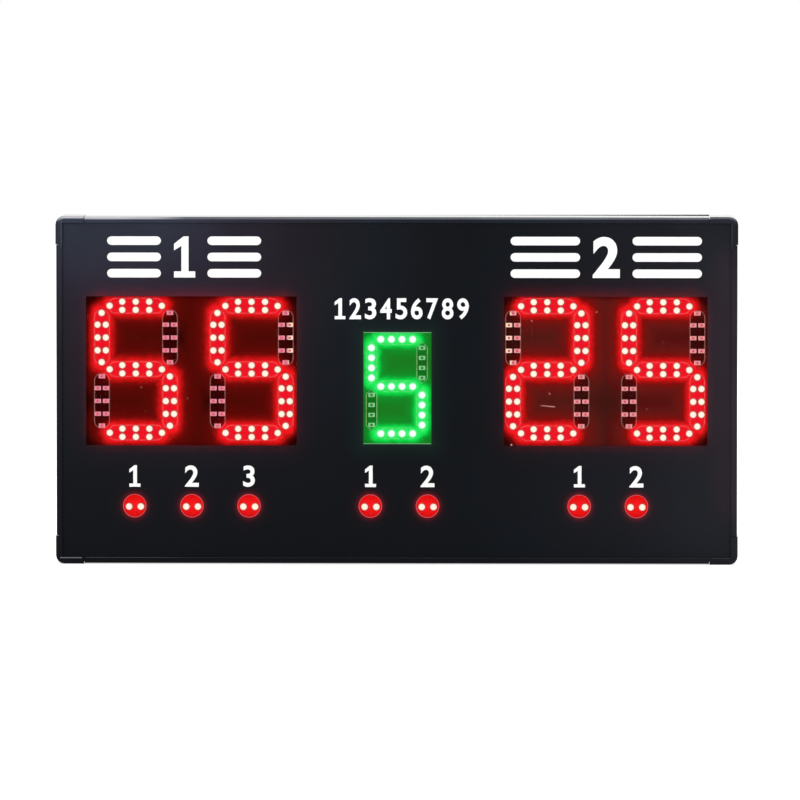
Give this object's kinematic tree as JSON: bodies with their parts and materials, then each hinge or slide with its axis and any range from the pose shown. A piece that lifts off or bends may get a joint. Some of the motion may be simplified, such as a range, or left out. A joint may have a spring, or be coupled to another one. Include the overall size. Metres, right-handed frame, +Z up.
{
  "type": "electronic scoreboard",
  "caption": "Shallow black electronic baseball scoreboard with lit red score digits, a green inning digit, round count lamps, a rear power switch and swivelling hangers.",
  "frame": {"origin": "bottom centre of the whole object, on the surface that it stands on", "axes": "+X to the viewer's right along the width, +Y from the display front to the rear cover, +Z up"},
  "size_m": [0.47, 0.04, 0.24],
  "materials": {
    "frame_aluminium": "black anodised, satin",
    "black_abs": "moulded, fine grain",
    "mask_film": "printed film, satin",
    "clear_acrylic": "clear, polished",
    "cover_steel": "powder coat, satin",
    "display_board": "black solder mask",
    "control_board": "green solder mask",
    "white_abs": "moulded, satin",
    "grey_cable": "soft cable jacket",
    "black_cable": "soft cable jacket",
    "bright_zinc": "zinc plated, bright",
    "white_print": "screen print, satin",
    "led_package": "moulded white package",
    "led_red_lit": "clear resin, lit red",
    "led_green_lit": "clear resin, lit green",
    "led_unlit": "clear resin, unlit"
  },
  "bodies": {
    "housing": {"frame_rail_top": "frame_aluminium", "frame_rail_bottom": "frame_aluminium", "frame_rail_left": "frame_aluminium", "frame_rail_right": "frame_aluminium", "corner_cap_top_left": "black_abs", "corner_cap_top_right": "black_abs", "corner_cap_bottom_left": "black_abs", "corner_cap_bottom_right": "black_abs", "front_sheet": "clear_acrylic", "front_mask": "mask_film", "rear_cover": "cover_steel", "digit_board_home_tens": "display_board", "digit_board_home_ones": "display_board", "digit_board_guest_tens": "display_board", "digit_board_guest_ones": "display_board", "digit_board_inning": "display_board", "lamp_board_ball": "display_board", "lamp_board_strike": "display_board", "lamp_board_out": "display_board", "spacer_strip_home_upper": "black_abs", "spacer_strip_home_lower": "black_abs", "spacer_strip_guest_upper": "black_abs", "spacer_strip_guest_lower": "black_abs", "spacer_strip_inning_upper": "black_abs", "spacer_strip_inning_lower": "black_abs", "lamp_shroud_ball": "white_abs", "lamp_shroud_strike": "white_abs", "lamp_shroud_out": "white_abs", "lamp_cable_ball": "grey_cable", "lamp_cable_strike": "grey_cable", "lamp_cable_out": "grey_cable", "control_board": "control_board", "control_board_support_1": "white_abs", "control_board_support_2": "white_abs", "control_board_support_3": "white_abs", "control_board_support_4": "white_abs", "radio_module": "control_board", "ribbon_home_tens": "grey_cable", "ribbon_home_ones": "grey_cable", "ribbon_inning": "grey_cable", "ribbon_guest_tens": "grey_cable", "ribbon_guest_ones": "grey_cable", "dc_socket": "black_abs", "dc_socket_nut": "bright_zinc", "power_switch_body": "black_abs", "power_lead_inlet": "black_cable", "power_lead_board": "black_cable", "rear_cover_screw_1": "bright_zinc", "rear_cover_screw_2": "bright_zinc", "rear_cover_screw_3": "bright_zinc", "rear_cover_screw_4": "bright_zinc", "rear_cover_screw_5": "bright_zinc", "rear_cover_screw_6": "bright_zinc", "rear_cover_screw_7": "bright_zinc", "rear_cover_screw_8": "bright_zinc", "hanger_screw_left": "bright_zinc", "hanger_screw_right": "bright_zinc"},
    "hanger_left": {"hanger_bracket_left": "bright_zinc"},
    "hanger_right": {"hanger_bracket_right": "bright_zinc"},
    "switch_rocker": {"power_switch_rocker": "black_abs"}
  },
  "joints": [
    {"name": "hanger_left_swivel", "type": "hinge", "parent": "housing", "child": "hanger_left", "pos_m": [-0.12673, 0.01695, 0.2315], "axis": [0, 1, 0], "range_deg": [0, 180]},
    {"name": "hanger_right_swivel", "type": "hinge", "parent": "housing", "child": "hanger_right", "pos_m": [0.12673, 0.01695, 0.2315], "axis": [0, -1, 0], "range_deg": [0, 180]},
    {"name": "power_switch_rock", "type": "hinge", "parent": "housing", "child": "switch_rocker", "pos_m": [0.104, 0.016, 0.0402], "axis": [-1, 0, 0], "range_deg": [0, 20]}
  ]
}
